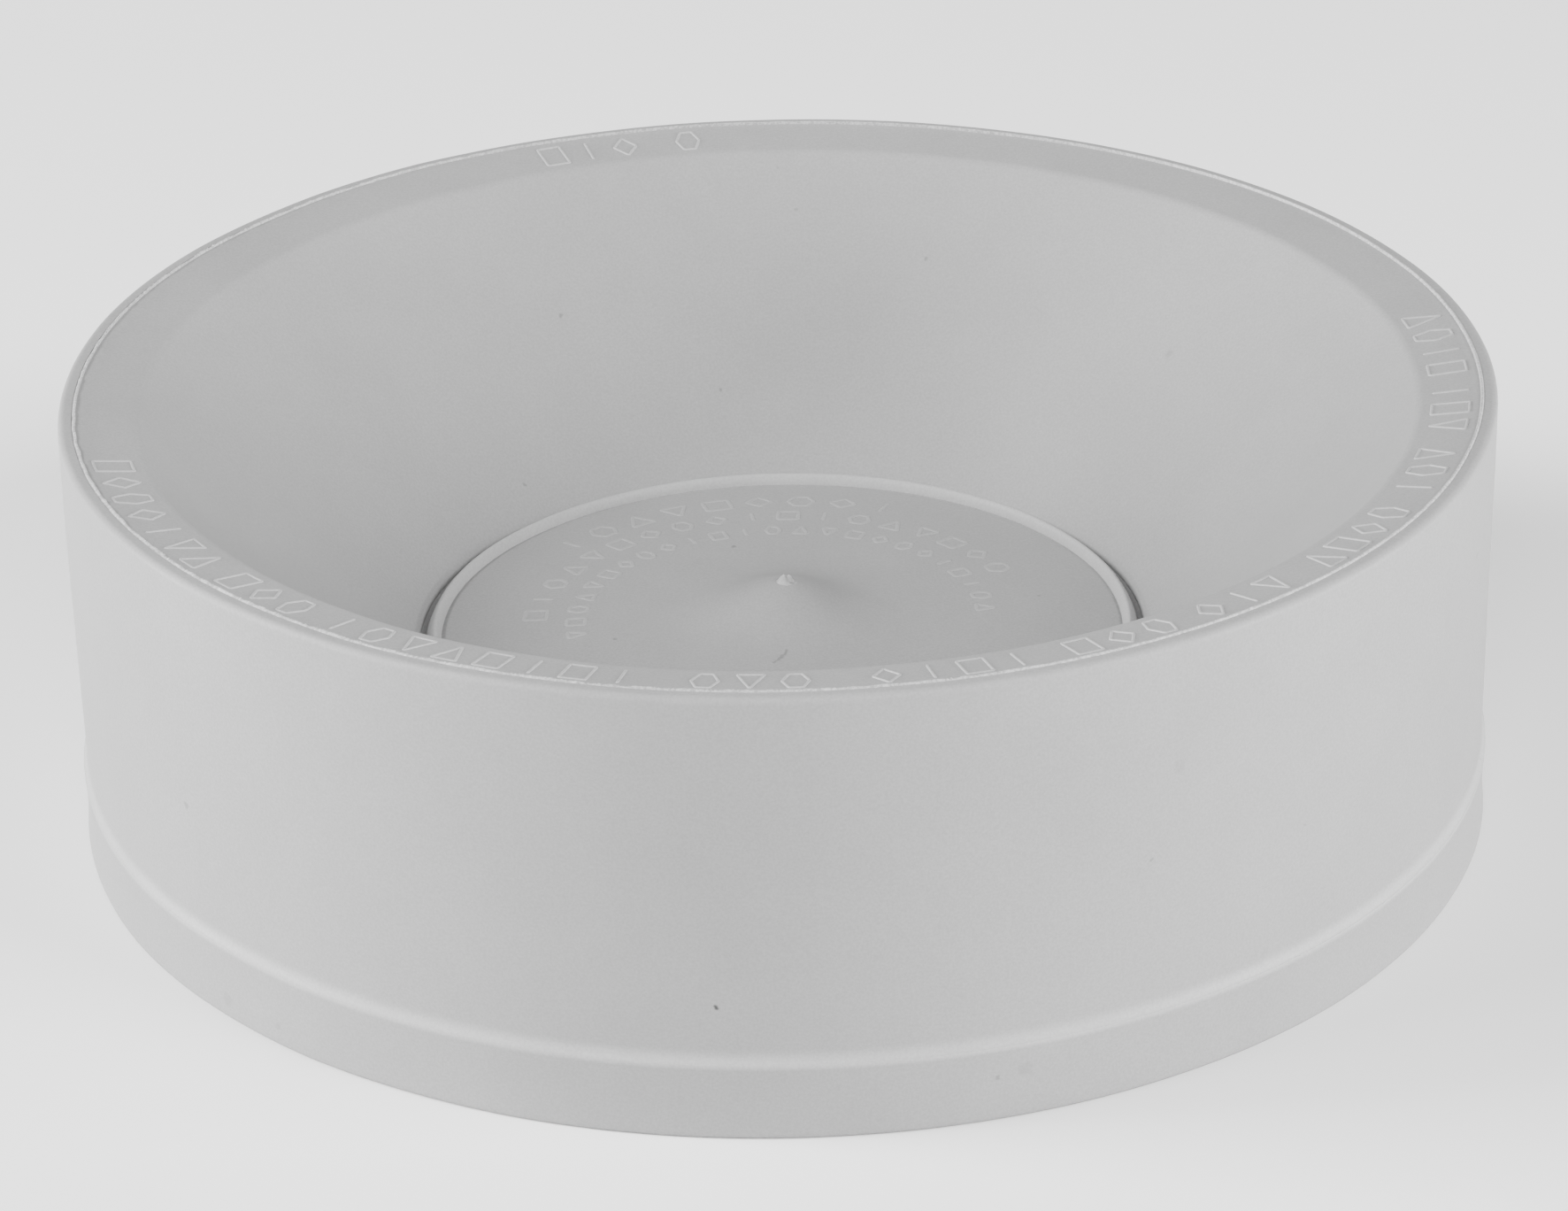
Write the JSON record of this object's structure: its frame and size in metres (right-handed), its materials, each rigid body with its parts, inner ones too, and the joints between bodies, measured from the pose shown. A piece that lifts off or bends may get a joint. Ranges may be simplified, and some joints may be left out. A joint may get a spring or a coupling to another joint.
{
  "type": "pipe cap",
  "caption": "Round soft cap with a skirt that grips a pipe end, an inner funnel, and a domed disc that closes the funnel until it is cut out.",
  "frame": {"origin": "on the axis of the cap, at the level of the skirt's lower edge, on which it stands", "axes": "+Z along the axis, from the pipe towards the open funnel; +X to the right and +Y to the back as the cap is usually seen"},
  "size_m": [0.12, 0.12, 0.0384],
  "materials": {
    "cap_rubber": "matte, fine moulded grain",
    "disc_rubber": "matte, fine moulded grain"
  },
  "bodies": {
    "cap": {"skirt_wall": "cap_rubber", "skirt_hem": "cap_rubber", "sealing_rib_lower": "cap_rubber", "sealing_rib_upper": "cap_rubber", "rim_edge": "cap_rubber", "rim_flash": "cap_rubber", "marking_band": "cap_rubber", "band_marks": "cap_rubber", "funnel_wall": "cap_rubber", "groove_lip": "cap_rubber", "groove_web": "cap_rubber"},
    "cut_out_disc": {"closing_disc": "disc_rubber", "disc_bead": "disc_rubber", "gate_vestige": "disc_rubber", "disc_marks": "disc_rubber"}
  },
  "joints": [
    {"name": "disc_lift", "type": "slide", "parent": "cap", "child": "cut_out_disc", "axis": [0, 0, 1], "range_m": [0, 0.05]}
  ]
}
